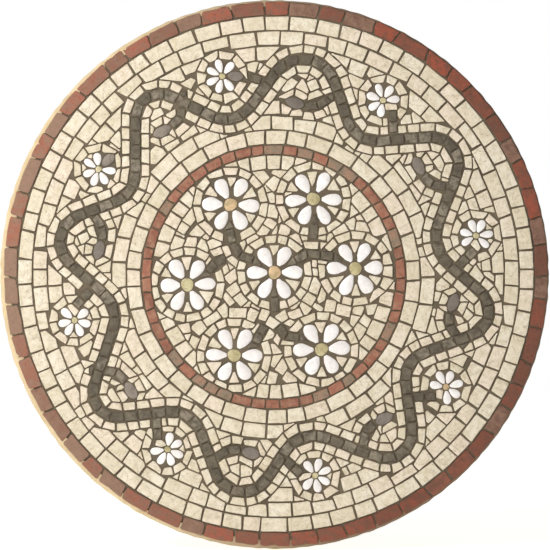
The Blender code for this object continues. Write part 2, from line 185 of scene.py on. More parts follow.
# The setting bed: a round slab of tan cement, trowelled flat behind. It was squeezed up round
# the border stones, and shows most on the left, where the stones sit off its centre.
PANEL_RADIUS = PANEL_DIAMETER / 2
BED_THICKNESS = 0.008
SETTING_GAP = 0.0003
STONE_THICKNESS = 0.010
STONE_TOP = BED_THICKNESS + SETTING_GAP + STONE_THICKNESS
STONES_SHIFT = np.array([0.0014, 0.0005])
RIM_LEAST = 0.0008
STONES_RADIUS = PANEL_RADIUS - RIM_LEAST - math.hypot(*STONES_SHIFT) - SETTING_GAP
BED_STEPS = 720
CEMENT = ("D8C39C", "C7B088", "E6D6B4")
# The brown of the painted shade on the rim's face towards the right.
RIGHT_SHADE_BROWN = "6B5140"


def stand_up(drawing):
    """From the flat drawing (right, up, height) to the frame's X, Y and Z."""
    drawing = np.asarray(drawing, float)
    return np.stack([drawing[..., 0], -drawing[..., 2], drawing[..., 1]], axis=-1)


def ripple(x, y, size, seed):
    """A smooth uneven surface between about -1 and 1: seven sine waves that run in different
    directions, with wavelengths from half of `size` to twice `size`."""
    chance = np.random.default_rng(seed)
    total = np.zeros(np.broadcast(x, y).shape)
    waves = chance.uniform([[0], [0.5], [0]], [[6.3], [2.0], [6.3]], (3, 7))
    for turn, length, start in zip(*waves):
        total += np.sin((x * np.cos(turn) + y * np.sin(turn)) * 2 * np.pi / (size * length) + start)
    return total / 3.5


def turned_shell(name, radius, height, angle, centre=(0, 0)):
    """A closed shell round an axis through `centre`: `radius` and `height` (stations, angles)
    give each profile from the middle of the back, over the edge, to the middle of the face. The
    first and last station are single points."""
    stations, steps = radius.shape
    ring = np.stack([radius * np.cos(angle), radius * np.sin(angle), height], axis=-1)
    points = np.vstack([[[0, 0, height[0, 0]]], ring[1:-1].reshape(-1, 3), [[0, 0, height[-1, 0]]]])
    here = 1 + np.arange((stations - 2) * steps).reshape(stations - 2, steps)
    beside = np.roll(here, -1, axis=1)
    last = len(points) - 1
    start = np.stack([np.zeros(steps, int), here[0], beside[0]], axis=-1)
    walls = np.stack([here[:-1], here[1:], beside[1:], beside[:-1]], axis=-1).reshape(-1, 4)
    end = np.stack([here[-1], np.full(steps, last), beside[-1]], axis=-1)
    return mesh_object(name, stand_up(points + [*centre, 0]), [start, walls, end], smooth=True)


angle = np.linspace(0, 2 * np.pi, BED_STEPS, endpoint=False)
facing = np.stack([np.cos(angle), np.sin(angle)])
along_shift = STONES_SHIFT @ facing
to_stones = along_shift + np.sqrt(STONES_RADIUS**2 - STONES_SHIFT @ STONES_SHIFT + along_shift**2)
rim_width = PANEL_RADIUS - to_stones
crumble = ripple(angle * PANEL_RADIUS, 0 * angle, 0.016, 1)
fine_crumble = ripple(angle * PANEL_RADIUS, 0 * angle, 0.005, 2)
squeezed = np.clip((rim_width - RIM_LEAST) / 0.0022, 0, 1)
rim_top = STONE_TOP - 0.0030 + 0.0022 * squeezed + 0.0004 * crumble + 0.00025 * fine_crumble
crumbled = np.clip(0.55 + 0.6 * crumble + 0.4 * fine_crumble, 0, 1)
under_stones = 0.0012 + 0.0055 * squeezed * crumbled
edge = PANEL_RADIUS - 0.0003 + 0.0003 * crumble
# From the middle of the back, over the edge and the squeezed rim, to the bed under the stones.
profile = (
    (0 * angle, 0 * angle),
    (0 * angle + 0.10, 0 * angle),
    (0 * angle + 0.20, 0 * angle),
    (edge - 0.0016, 0 * angle),
    (edge - 0.0003, 0 * angle + 0.0008),
    (edge, 0 * angle + 0.0030),
    (edge + 0.0002 * fine_crumble, 0 * angle + 0.0090),
    (edge, rim_top - 0.0016),
    (edge - 0.0003, rim_top - 0.0004),
    (edge - 0.0009, rim_top),
    (to_stones + 0.0002, rim_top + 0.0001),
    (to_stones - under_stones, rim_top - 0.0002),
    (to_stones - under_stones - 0.0015, 0 * angle + STONE_TOP - 0.0040),
    (0 * angle + 0.20, 0 * angle + BED_THICKNESS),
    (0 * angle + 0.10, 0 * angle + BED_THICKNESS),
    (0 * angle, 0 * angle + BED_THICKNESS),
)
bed = turned_shell("setting_bed", *np.array(profile).transpose(1, 0, 2), angle)

# Cement: sand and lime, floated. Sandy grain of about 0.5 mm, paler and darker clouds, small
# air holes, the float's long sweeps, and no shine. Painted shade: the face of the rim turns
# brown towards the right, where it lies in shadow.
cement, tree, place = start_material("floated_cement")
clouds = add(tree, "ShaderNodeTexNoise", {"Scale": 45, "Detail": 4}, {"Vector": place})
sand = add(tree, "ShaderNodeTexNoise", {"Scale": 1400, "Detail": 2}, {"Vector": place})
holes = add(tree, "ShaderNodeTexVoronoi", {"Scale": 190}, {"Vector": place})
cloud_share = add(tree, "ShaderNodeMapRange", {1: 0.35, 2: 0.65}, {0: clouds.outputs[0]})
body = mix_in(tree, cloud_share.outputs[0], CEMENT[0], CEMENT[1])
sand_share = add(tree, "ShaderNodeMapRange", {1: 0.5, 2: 0.75, 4: 0.6}, {0: sand.outputs[0]})
grainy = mix_in(tree, sand_share.outputs[0], body, CEMENT[2])
axes = add(tree, "ShaderNodeSeparateXYZ", {}, {0: place}).outputs
# Painted shade: brown laid over the rim's face, growing towards the right, standing in for its shadow.
to_right = add(tree, "ShaderNodeMapRange", {1: -0.16, 2: 0.06, 4: 0.85}, {0: axes[0]})
at_face = add(tree, "ShaderNodeMapRange", {1: -0.010, 2: -0.014}, {0: axes[1]})
right_shade_share = add(
    tree, "ShaderNodeMath", {"operation": "MULTIPLY"}, {0: to_right.outputs[0], 1: at_face.outputs[0]}
)
right_shaded = mix_in(tree, right_shade_share.outputs[0], grainy, RIGHT_SHADE_BROWN)
pit = add(tree, "ShaderNodeMapRange", {1: 0.10, 2: 0.22}, {0: holes.outputs[0]})
drawn_out = {"Scale": (4, 1, 55), "Rotation": (0, 0.5, 0)}
stretched = add(tree, "ShaderNodeMapping", drawn_out, {"Vector": place}).outputs[0]
sweeps = add(tree, "ShaderNodeTexNoise", {"Scale": 1.0, "Distortion": 0.6}, {"Vector": stretched})
grit = add(tree, "ShaderNodeMath", {"operation": "MULTIPLY"}, {0: pit.outputs[0], 1: sand.outputs[0]})
swept = add(tree, "ShaderNodeMath", {"operation": "MULTIPLY", 1: 1.5}, {0: sweeps.outputs[0]})
relief = add(tree, "ShaderNodeMath", {"operation": "ADD"}, {0: grit.outputs[0], 1: swept.outputs[0]})
end_material(tree, right_shaded, relief.outputs[0], 0.7, 0.0007, 0.9)
bed.data.materials.append(cement)
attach(bed, "root")
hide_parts("mortar_bed")

# The grout: a dark olive-brown cement, washed into the joints and wiped down below the faces.
# It shows widest round the flowers.
GROUT_DEPTH = 0.0017
GROUT_UNEVEN = 0.00028
GROUT = ("675B49", "54493A", "7D715D")
rings = np.linspace(0, 1, 64)[:, None]
angle = np.linspace(0, 2 * np.pi, 300, endpoint=False)
around = STONES_RADIUS * rings + 0 * angle
across_x = around * np.cos(angle)
across_y = around * np.sin(angle)
top = STONE_TOP - GROUT_DEPTH + GROUT_UNEVEN * ripple(across_x, across_y, 0.012, 5)
top[0] = top[0].mean()
floor_ring = np.full((2, len(angle)), BED_THICKNESS)
radius = np.vstack([[0 * angle], around[-1:], around[::-1]])
height = np.vstack([floor_ring, top[::-1]])
grout = turned_shell("grout", radius, height, angle, centre=STONES_SHIFT)

# Grout: fine cement with dust in it. Clouded over a few centimetres, grainy to the eye, matt.
wiped_grout, tree, place = start_material("wiped_grout")
clouds = add(tree, "ShaderNodeTexNoise", {"Scale": 28, "Detail": 5}, {"Vector": place})
grain = add(tree, "ShaderNodeTexNoise", {"Scale": 900, "Detail": 3}, {"Vector": place})
cloud_share = add(tree, "ShaderNodeMapRange", {1: 0.35, 2: 0.62}, {0: clouds.outputs[0]})
body = mix_in(tree, cloud_share.outputs[0], GROUT[0], GROUT[1])
grain_share = add(tree, "ShaderNodeMapRange", {1: 0.45, 2: 0.75, 4: 0.7}, {0: grain.outputs[0]})
dusty = mix_in(tree, grain_share.outputs[0], body, GROUT[2])
end_material(tree, dusty, grain.outputs[0], 0.5, 0.0005, 0.92)
grout.data.materials.append(wiped_grout)
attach(grout, "root")

# The two courses of brick-red stone: sawn strips, chopped to length with a hammer, so that the
# joints lean a little. The outer course frames the panel and is painted paler on its left, as
# painted light falling from the upper left.
JOINT = 0.0014
COURSE_WANDER = 0.16
OUTER_COURSE_WIDTH = 0.0142
OUTER_COURSE_STONES = 58
FIELD_RADIUS = STONES_RADIUS - OUTER_COURSE_WIDTH - JOINT
INNER_COURSE_RADIUS = 0.511 * FIELD_RADIUS
INNER_COURSE_WIDTH = 0.0096
INNER_COURSE_STONES = 50
INNER_COURSE_SHIFT = np.array([-0.0012, -0.0027])
BRICK_REDS = ("93452E", "6C3F2D", "826250", "603F2F")
# The pale colour of the painted light laid over the outer course on its left.
LEFT_LIGHT_TINT = "B3957D"
CORNERS = 12
MOST_SIDES = 8
MOST_STONES = 4000
SLACK = 1e-6
STONE_FOOT = 0.0042
EDGE_INSETS = (0.0, 0.0, 0.00032, 0.00115)
EDGE_DEPTHS = (STONE_FOOT, 0.00066, 0.00018, 0.0)
CHIP_SHARES = (0, 1.2, 0.8, 0.3)
CHIP_DEPTH = 0.0001
FACE_CROWN = 0.0001
laid = []
laid_middles = np.zeros((MOST_STONES, 2))
laid_reaches = np.zeros(MOST_STONES)
laid_corners = np.zeros((MOST_STONES, MOST_SIDES, 2))
laid_normals = np.zeros((MOST_STONES, MOST_SIDES, 2))


def area_of(outline):
    """Half the sum of the cross products of neighbouring corners."""
    after = np.roll(outline, -1, axis=0)
    return (outline[:, 0] * after[:, 1] - outline[:, 1] * after[:, 0]).sum() / 2


def outward(outline):
    """Each side's unit normal, for corners in counter-clockwise order."""
    side = np.roll(outline, -1, axis=0) - outline
    return np.stack([side[:, 1], -side[:, 0]], axis=-1) / np.hypot(*side.T)[:, None]


def split(outline, point, normal):
    """What is left of a convex outline on the side of a line that the normal points to. A side
    that crosses the line is cut where its two ends' distances to the line cancel out."""
    depth = (outline - point) @ normal
    next_depth = np.roll(depth, -1)
    crossing = (depth < 0) != (next_depth < 0)
    share = np.where(crossing, depth / np.where(crossing, depth - next_depth, 1), 0)
    cut = outline + share[:, None] * (np.roll(outline, -1, axis=0) - outline)
    corners = np.stack([outline, cut], axis=1).reshape(-1, 2)
    return corners[np.stack([depth >= 0, crossing], axis=1).ravel()]


def is_convex(outline):
    side = np.roll(outline, -1, axis=0) - outline
    after = np.roll(side, -1, axis=0)
    return (side[:, 0] * after[:, 1] - side[:, 1] * after[:, 0]).min() > 0


def near_stones(outline, spare=JOINT):
    """The numbers of the laid stones that an outline could touch."""
    middle = outline.mean(axis=0)
    reach = np.hypot(*(outline - middle).T).max()
    apart = np.hypot(*(laid_middles[:len(laid)] - middle).T)
    return np.flatnonzero(apart < laid_reaches[:len(laid)] + reach + spare)


def clearances(outline, near):
    """How far the outline keeps from each of those stones: the widest gap along any side's
    normal, of theirs or its own, and negative where they overlap."""
    corners = laid_corners[near]
    theirs = ((outline[None, :, None] - corners[:, None]) * laid_normals[near][:, None]).sum(axis=-1)
    own = ((corners[:, :, None] - outline) * outward(outline)).sum(axis=-1)
    return np.maximum(theirs.min(axis=1).max(axis=1), own.min(axis=1).max(axis=1))


def chopped(outline, other):
    """An outline chopped to lie a joint away from another stone, along whichever of their sides
    keeps the most of it."""
    away = outward(other)
    gaps = ((outline[:, None] - other[None]) * away[None]).sum(axis=2).min(axis=0)
    own = outward(outline)
    own_gaps = ((other[:, None] - outline[None]) * own[None]).sum(axis=2).min(axis=0)
    if max(gaps.max(), own_gaps.max()) > JOINT - SLACK:
        return outline
    pieces = [split(outline, other[i] + away[i] * JOINT, away[i]) for i in np.argsort(-gaps)[:3]]
    best = own_gaps.argmax()
    pieces.append(split(outline, outline[best] - own[best] * (JOINT - own_gaps[best]), -own[best]))
    return max(pieces, key=lambda piece: area_of(piece) if len(piece) > 2 else 0)


def trimmed(outline, shortest=0.0011):
    """Drops corners that a mason wouldn't cut: those closer together than `shortest`, and then
    the closest ones until six are left."""
    while len(outline) > 3:
        sides = np.hypot(*(np.roll(outline, -1, axis=0) - outline).T)
        if sides.min() > shortest and len(outline) <= CORNERS / 2:
            break
        outline = np.delete(outline, sides.argmin(), axis=0)
    return outline


def thickness_of(outline):
    """The least width: the smallest, over the sides, of how far the outline reaches from one."""
    reach = ((outline[:, None] - outline[None]) * outward(outline)[None]).sum(axis=2)
    return -reach.min(axis=0).max()


def keep(outline, number=None):
    """Enters a stone's outline among those laid, as a new one or in place of an old one."""
    if number is None:
        number = len(laid)
        laid.append(outline)
    laid[number] = outline
    missing = MOST_SIDES - len(outline)
    laid_corners[number] = np.vstack([outline, np.repeat(outline[-1:], missing, axis=0)])
    laid_normals[number] = np.vstack([outward(outline), np.zeros((missing, 2))])
    laid_middles[number] = outline.mean(axis=0)
    laid_reaches[number] = np.hypot(*(outline - laid_middles[number]).T).max()
    return number


def lay(outline, least_area=1e-6, least_width=0.0):
    """Fits a stone among those already laid and adds it to them. Gives its number, or None where
    too little of it is left."""
    outline = np.asarray(outline, float)
    if area_of(outline) < 0:
        outline = outline[::-1]
    if not is_convex(outline):
        return None
    near = near_stones(outline)
    for i in near[clearances(outline, near) < JOINT - SLACK]:
        outline = chopped(outline, laid[i])
        if len(outline) < 3 or area_of(outline) < least_area:
            return None
    outline = trimmed(outline)
    if area_of(outline) < least_area or thickness_of(outline) < least_width:
        return None
    return keep(outline)


def sides_of_stone(outline, corner):
    """Twelve points round a convex outline: each corner is knocked off by `corner`, and the rest
    are spread along the sides, with the spare ones on the longest."""
    sides = np.roll(outline, -1, axis=0) - outline
    lengths = np.hypot(*sides.T)
    knocked = np.minimum(corner / lengths, 0.3)
    spare = CORNERS - 2 * len(outline)
    extra = np.full(len(outline), spare // len(outline))
    extra[np.argsort(-lengths)[:spare % len(outline)]] += 1
    shares = [np.linspace(k, 1 - k, 2 + e) for k, e in zip(knocked, extra)]
    starts = zip(outline, sides, shares)
    return np.vstack([start + share[:, None] * side for start, side, share in starts])


def stone_mesh(name, rings, ends, chance):
    """One mesh of separate closed stones. `rings` (stones, levels, places, 3) run from the foot
    up, and `ends` (stones, 2, 3) hold the middle of the foot and of the face. Three random
    numbers for each stone go to the attribute `stone`, for its material."""
    count, levels, places, _ = rings.shape
    points = np.concatenate([rings.reshape(count, -1, 3), ends], axis=1)
    here = np.arange(levels * places).reshape(levels, places)
    beside = np.roll(here, -1, axis=1)
    foot = np.full(places, levels * places)
    walls = np.stack([here[:-1], beside[:-1], beside[1:], here[1:]], axis=-1).reshape(-1, 4)
    foot_fan = np.stack([foot, beside[0], here[0]], axis=-1)
    face_fan = np.stack([here[-1], beside[-1], foot + 1], axis=-1)
    start = (np.arange(count) * points.shape[1])[:, None, None]
    faces = [(start + block).reshape(-1, block.shape[-1]) for block in (walls, foot_fan, face_fan)]
    obj = mesh_object(name, stand_up(points.reshape(-1, 3)), faces)
    marks = np.repeat(chance.uniform(0, 1, (count, 3)), points.shape[1], axis=0)
    attribute = obj.data.attributes.new("stone", "FLOAT_VECTOR", "POINT")
    attribute.data.foreach_set("vector", marks.ravel())
    return obj


def outwards_from(rings):
    """The unit normal at each point of closed outlines (..., places, 2)."""
    step = np.roll(rings, -1, axis=-2) - np.roll(rings, 1, axis=-2)
    return np.stack([step[..., 1], -step[..., 0]], axis=-1) / np.linalg.norm(step, axis=-1)[..., None]


def stone_blocks(name, numbers, seed, corner=0.0008, rough=0.00018, lift=0.00022, tilt=0.010):
    """The laid stones of these numbers as blocks: a foot under the grout, a wall, a worn edge in
    two steps and a nearly flat face. Every ring is the outline moved inwards along its normals,
    unevenly by `rough`. Each stone has its own small tilt and lift."""
    chance = np.random.default_rng(seed)
    outlines = np.array([sides_of_stone(laid[number], corner) for number in numbers])
    count = len(outlines)
    normals = outwards_from(outlines)
    outlines = outlines + normals * chance.uniform(-1, 0.6, (count, CORNERS, 1)) * rough
    middles = outlines.mean(axis=1, keepdims=True)
    insets = np.array(EDGE_INSETS)[:, None, None]
    depths = np.array(EDGE_DEPTHS)[:, None]
    flat = outlines[:, None] - normals[:, None] * insets
    slope = ((flat - middles[:, None]) * chance.normal(0, tilt, (count, 1, 1, 2))).sum(axis=-1)
    rise = chance.normal(0, lift, (count, 1, 1))
    chips = chance.uniform(-1, 1, flat.shape[:3]) * np.array(CHIP_SHARES)[:, None] * CHIP_DEPTH
    height = STONE_TOP - depths + (depths < STONE_FOOT) * (rise + slope + chips)
    rings = np.concatenate([flat, height[..., None]], axis=-1)
    low = np.concatenate([middles, np.full((count, 1, 1), STONE_TOP - STONE_FOOT)], axis=-1)
    high = np.concatenate([middles, STONE_TOP + rise + FACE_CROWN], axis=-1)
    return stone_mesh(name, rings, np.concatenate([low, high], axis=1), chance)


def on_circle(centre, radius, turn):
    return np.asarray(centre) + radius * np.stack([np.cos(turn), np.sin(turn)], axis=-1)


def between_joints(left, right, closed):
    """Four-sided stones between joint lines, drawn in by half a joint at either end. `left` and
    `right` hold the two ends of every joint line."""
    starts = np.stack([left, right], axis=1)
    ends = np.roll(starts, -1, axis=0)
    if not closed:
        starts, ends = starts[:-1], ends[:-1]
    along = ends - starts
    along *= JOINT / 2 / np.linalg.norm(along, axis=-1)[..., None]
    return np.concatenate([starts + along, (ends - along)[:, ::-1]], axis=1)


def brick_course(centre, outside, width, count, seed):
    """Joint lines at even turns, each moved and leant by up to a sixth of a stone."""
    chance = random.Random(seed)
    step = 2 * math.pi / count
    wander = [chance.uniform(-COURSE_WANDER, COURSE_WANDER) for _ in range(2 * count)]
    turns = np.array([(i + moved) * step for i, moved in enumerate(wander[:count])])
    lean = np.array([leant * step / 3 for leant in wander[count:]])
    left = on_circle(centre, outside, turns + lean)
    right = on_circle(centre, outside - width, turns - lean)
    return [lay(quad) for quad in between_joints(left, right, True)]


outer_bricks = brick_course(STONES_SHIFT, STONES_RADIUS, OUTER_COURSE_WIDTH, OUTER_COURSE_STONES, 3)
inner_bricks = brick_course(
    INNER_COURSE_SHIFT, INNER_COURSE_RADIUS, INNER_COURSE_WIDTH, INNER_COURSE_STONES, 8
)


def stone_material(name, tones, speck, speck_size, roughness, relief, mottle=0.6, left_light=None):
    """A cut stone. Each stone lies between the first two tones, or near the third for one in
    four. Clouds of the fourth drift through it over a few millimetres, as strongly as `mottle`.
    Veins, specks and pits of `speck_size` break its face. `left_light` is a colour of painted
    light and how far it pales the stones on the panel's left, where the light falls."""
    material, tree, place = start_material(name)
    mark = add(tree, "ShaderNodeAttribute", {"attribute_name": "stone"}).outputs["Vector"]
    parts = add(tree, "ShaderNodeSeparateXYZ", {}, {0: mark}).outputs
    shift = add(tree, "ShaderNodeVectorMath", {"operation": "SCALE", "Scale": 3.0}, {0: mark})
    own = add(tree, "ShaderNodeVectorMath", {"operation": "ADD"}, {0: place, 1: shift.outputs[0]})
    at = {"Vector": own.outputs[0]}
    clouds = add(tree, "ShaderNodeTexNoise", {"Scale": 130, "Detail": 4, "Roughness": 0.6}, at)
    veins = add(tree, "ShaderNodeTexNoise", {"Scale": 55, "Detail": 6, "Distortion": 1.6}, at)
    fine = {"Scale": 0.6 / speck_size, "Detail": 3, "Roughness": 0.7}
    specks = add(tree, "ShaderNodeTexNoise", fine, at)
    first = mix_in(tree, parts[0], tones[0], tones[1])
    odd = add(tree, "ShaderNodeMapRange", {1: 0.68, 2: 0.78}, {0: parts[1]})
    second = mix_in(tree, odd.outputs[0], first, tones[2])
    cloud_share = add(tree, "ShaderNodeMapRange", {1: 0.40, 2: 0.66, 4: mottle}, {0: clouds.outputs[0]})
    clouded = mix_in(tree, cloud_share.outputs[0], second, tones[3])
    vein_line = add(tree, "ShaderNodeMath", {"operation": "SUBTRACT", 1: 0.5}, {0: veins.outputs[0]})
    vein_near = add(tree, "ShaderNodeMath", {"operation": "ABSOLUTE"}, {0: vein_line.outputs[0]})
    fade = {1: 0.0, 2: 0.022, 3: 0.42, 4: 0.0}
    vein_share = add(tree, "ShaderNodeMapRange", fade, {0: vein_near.outputs[0]})
    veined = mix_in(tree, vein_share.outputs[0], clouded, speck)
    speck_share = add(tree, "ShaderNodeMapRange", {1: 0.63, 2: 0.72, 4: 0.75}, {0: specks.outputs[0]})
    colour = mix_in(tree, speck_share.outputs[0], veined, speck)
    # Painted light: a pale tint laid over the stones towards the panel's left, patchy with the clouds.
    if left_light:
        tint, left_share = left_light
        sideways = add(tree, "ShaderNodeSeparateXYZ", {}, {0: place}).outputs[0]
        to_left = {1: 0.12, 2: -0.28, 3: 0.04, 4: left_share}
        far = add(tree, "ShaderNodeMapRange", to_left, {0: sideways}).outputs[0]
        patchy = add(tree, "ShaderNodeMath", {"operation": "MULTIPLY"}, {0: far, 1: clouds.outputs[0]})
        colour = mix_in(tree, patchy.outputs[0], colour, tint)
    pits = add(tree, "ShaderNodeMapRange", {1: 0.70, 2: 0.60}, {0: specks.outputs[0]})
    height = add(tree, "ShaderNodeMath", {"operation": "ADD"}, {0: pits.outputs[0], 1: clouds.outputs[0]})
    end_material(tree, colour, height.outputs[0], 0.7, relief, roughness)
    return material


# Red limestone: fine and matt, brick red to grey-brown, painted paler on the panel's left as painted
# light from the upper left.
brick_stone = stone_material(
    "cut_red_limestone", BRICK_REDS, "4E3427", 0.0014, 0.78, 0.0006, 0.85, (LEFT_LIGHT_TINT, 0.62)
)
outer_border = stone_blocks("outer_brick_stones", outer_bricks, 21, corner=0.0016, rough=0.0008)
inner_border = stone_blocks("inner_brick_stones", inner_bricks, 22, corner=0.0010, rough=0.0005)
outer_border.data.materials.append(brick_stone)
inner_stone = stone_material(
    "mixed_brick_limestone", ("99604B", "82503D", "84735F", "A2785F"), "553E2C", 0.0013, 0.72, 0.0005, 0.8
)
inner_border.data.materials.append(inner_stone)
for border, node in ((outer_border, "outer_brick_course"), (inner_border, "inner_brick_course")):
    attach(border, "root")
    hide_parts(node)

# The vine: one row of dark olive-grey stones in a closed wave, mitred where it bends. Its middle
# line is a belt that runs clockwise round eight crests and the other way round eight troughs.
VINE_WIDTH = 0.0100
VINE_STONE_LENGTH = 0.0152
VINE_TURNS = (
    (8.8, 0.716, 0.130), (31.9, 0.737, 0.109), (54.9, 0.746, 0.105), (79.1, 0.787, 0.147),
    (100.9, 0.748, 0.099), (123.3, 0.730, 0.103), (144.7, 0.748, 0.103), (168.6, 0.773, 0.134),
    (189.5, 0.745, 0.110), (211.5, 0.762, 0.120), (233.0, 0.763, 0.095), (257.1, 0.758, 0.122),
    (279.9, 0.734, 0.109), (300.9, 0.758, 0.112), (323.8, 0.752, 0.095), (345.2, 0.740, 0.116),
)
FINE_STEP = 0.001


def on_clock(clock, distance):
    """The place at a clock angle (degrees clockwise from the top) and a distance."""
    return distance * np.array([math.sin(math.radians(clock)), math.cos(math.radians(clock))])


def in_turn_frame(clock, distance, along, out):
    """The place `along` (clockwise) and `out` from one on the clock, in shares of the field."""
    return (on_clock(clock, distance + out) + on_clock(clock + 90, along)) * FIELD_RADIUS


def length_of(path):
    return float(np.hypot(*np.diff(path, axis=0).T).sum())


def spread(path, marks):
    """The places at the given distances along a path, by straight interpolation."""
    travelled = np.r_[0, np.cumsum(np.hypot(*np.diff(path, axis=0).T))]
    return np.stack([np.interp(marks, travelled, path[:, i]) for i in (0, 1)], axis=-1)


def evenly(path, count, closed=False):
    marks = np.linspace(0, length_of(path), count + 1)
    return spread(path, marks[:count] if closed else marks)


def across(path, closed=False):
    """The unit vector to the left of the path at each of its points."""
    step = np.roll(path, -1, axis=0) - np.roll(path, 1, axis=0) if closed else np.gradient(path, axis=0)
    return np.stack([-step[:, 1], step[:, 0]], axis=-1) / np.hypot(*step.T)[:, None]


def belt(turns):
    """A belt round circles. Between two of them it leaves and meets both along the line whose
    heading is that of their middles less the angle whose tangent is (difference of the signed
    bends) / (length of the straight). Round each it turns from one heading to the next."""
    centres = np.array([on_clock(clock, share * FIELD_RADIUS) for clock, share, _ in turns])
    bends = np.array([bend * FIELD_RADIUS for _, _, bend in turns])
    bends[0::2] *= -1
    ahead = np.roll(centres, -1, axis=0) - centres
    swing = np.roll(bends, -1) - bends
    straight = np.sqrt((ahead**2).sum(axis=1) - swing**2)
    heading = np.arctan2(ahead[:, 1], ahead[:, 0]) - np.arctan2(swing, straight)
    pieces = []
    for i, bend in enumerate(bends):
        turned = (heading[i] - heading[i - 1]) % (2 * math.pi) - (2 * math.pi if bend < 0 else 0)
        course = heading[i - 1] + np.linspace(0, turned, max(3, int(abs(turned * bend) / FINE_STEP)))
        pieces.append(centres[i] - bend * np.stack([-np.sin(course), np.cos(course)], axis=-1))
    path = np.vstack([*pieces, pieces[0][:1]])
    path = evenly(path, int(length_of(path) / FINE_STEP), closed=True)
    return np.vstack([path, path[:1]])


vine_line = belt(VINE_TURNS)
vine_marks = evenly(vine_line, round(length_of(vine_line) / VINE_STONE_LENGTH), closed=True)
vine_side = across(vine_marks, closed=True) * VINE_WIDTH / 2
vine_quads = between_joints(vine_marks + vine_side, vine_marks - vine_side, True)
vine_stones = [lay(quad) for quad in vine_quads]
vine = stone_blocks("vine_stones", vine_stones, 31, corner=0.0011, rough=0.0009)

# Grey limestone: fine, olive to blackish grey, clouded and a little chalky.
vine_stone = stone_material(
    "split_grey_limestone", ("776C5A", "5E5544", "877C6A", "494133"), "3A3327", 0.0012, 0.66, 0.0006, 0.9
)
vine.data.materials.append(vine_stone)
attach(vine, "root")
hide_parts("vine")

# The twigs, of the vine's stone cut a little narrower: a hooked tendril inside each crest, a stem
# to most of the daisies, and the stems that join the flowers of the middle.
TWIG_WIDTH = 0.0086
TWIG_STONE_LENGTH = 0.0135
TWIG_LEAST_AREA = 1.2e-5
NARROWEST = 0.003
TENDRIL = ((0.134, 0.034), (0.100, -0.012), (0.072, -0.040), (0.038, -0.055))
LEAF_PLACE = (-0.024, -0.047)
LEAF_LENGTH = 0.0727 * FIELD_RADIUS
DAISY_REACH = 0.795
DAISY_STEM = ((0.052, -0.014), (0.082, -0.058), (0.125, -0.120))
DAISIES_WITH_LEAVES = {7: (), 8: ((0.106, -0.030), (0.180, -0.078))}
FLOWER_HEART_RADIUS = 0.0507 * INNER_COURSE_RADIUS
FLOWER_PETAL_LENGTH = 0.1667 * INNER_COURSE_RADIUS
STEM_END_SHARE = 0.86
FLOWERS = {
    "middle": (0.008, 0.034, 0.0),
    "upper_left": (-0.326, 0.549, -2.0),
    "upper_right": (0.302, 0.593, 3.0),
    "right": (0.621, 0.064, 2.0),
    "lower_right": (0.363, -0.550, 1.0),
    "lower_left": (-0.298, -0.595, 0.0),
    "left": (-0.654, -0.059, 2.0),
}
FLOWER_STEMS = {
    "upper_left": (("upper_left", 270), (-0.307, 0.250), (-0.258, 0.165), ("middle", 150)),
    "left": ((-0.360, 0.142), (-0.425, 0.121), ("left", 30)),
    "upper_right": (("upper_right", 270), (0.298, 0.285)),
    "right": (("middle", 30), (0.247, 0.175), (0.345, 0.167), ("right", 150)),
    "trunk": (("middle", 270), (0.012, -0.270)),
    "lower_left": ((-0.060, -0.365), (-0.108, -0.443), ("lower_left", 30)),
    "lower_right": ((0.036, -0.372), (0.090, -0.443), ("lower_right", 150)),
}


def smooth(points):
    """A Catmull-Rom curve through a few points: between b and c, with neighbours a and d, it is
    half of 2b + (c - a)t + (2a - 5b + 4c - d)t^2 + (3b - a - 3c + d)t^3."""
    points = np.asarray(points, float)
    ends = np.vstack([2 * points[0] - points[1], points, 2 * points[-1] - points[-2]])
    t = np.linspace(0, 1, 24, endpoint=False)[:, None]
    pieces = [
        (2 * b + (c - a) * t + (2 * a - 5 * b + 4 * c - d) * t**2 + (3 * b - a - 3 * c + d) * t**3) / 2
        for a, b, c, d in zip(ends, ends[1:], ends[2:], ends[3:])
    ]
    return np.vstack(pieces + [points[-1:]])


def lay_twig(path):
    """Lays a twig's stones end to end and gives their numbers."""
    marks = evenly(path, max(1, round(length_of(path) / TWIG_STONE_LENGTH)))
    side = across(marks) * TWIG_WIDTH / 2
    quads = between_joints(marks + side, marks - side, False)
    numbers = [lay(quad, TWIG_LEAST_AREA, NARROWEST) for quad in quads]
    return [number for number in numbers if number is not None]


def flower_place(name):
    x, y, turn = FLOWERS[name]
    return INNER_COURSE_SHIFT + np.array([x, y]) * INNER_COURSE_RADIUS, math.radians(turn)


def stem_point(first, second):
    """A bare place, or the end of a stem between two petals of a flower."""
    if isinstance(first, str):
        centre, turn = flower_place(first)
        reach = (FLOWER_HEART_RADIUS + FLOWER_PETAL_LENGTH) * STEM_END_SHARE
        return on_circle(centre, reach, math.radians(second) + turn)
    return INNER_COURSE_SHIFT + np.array([first, second]) * INNER_COURSE_RADIUS


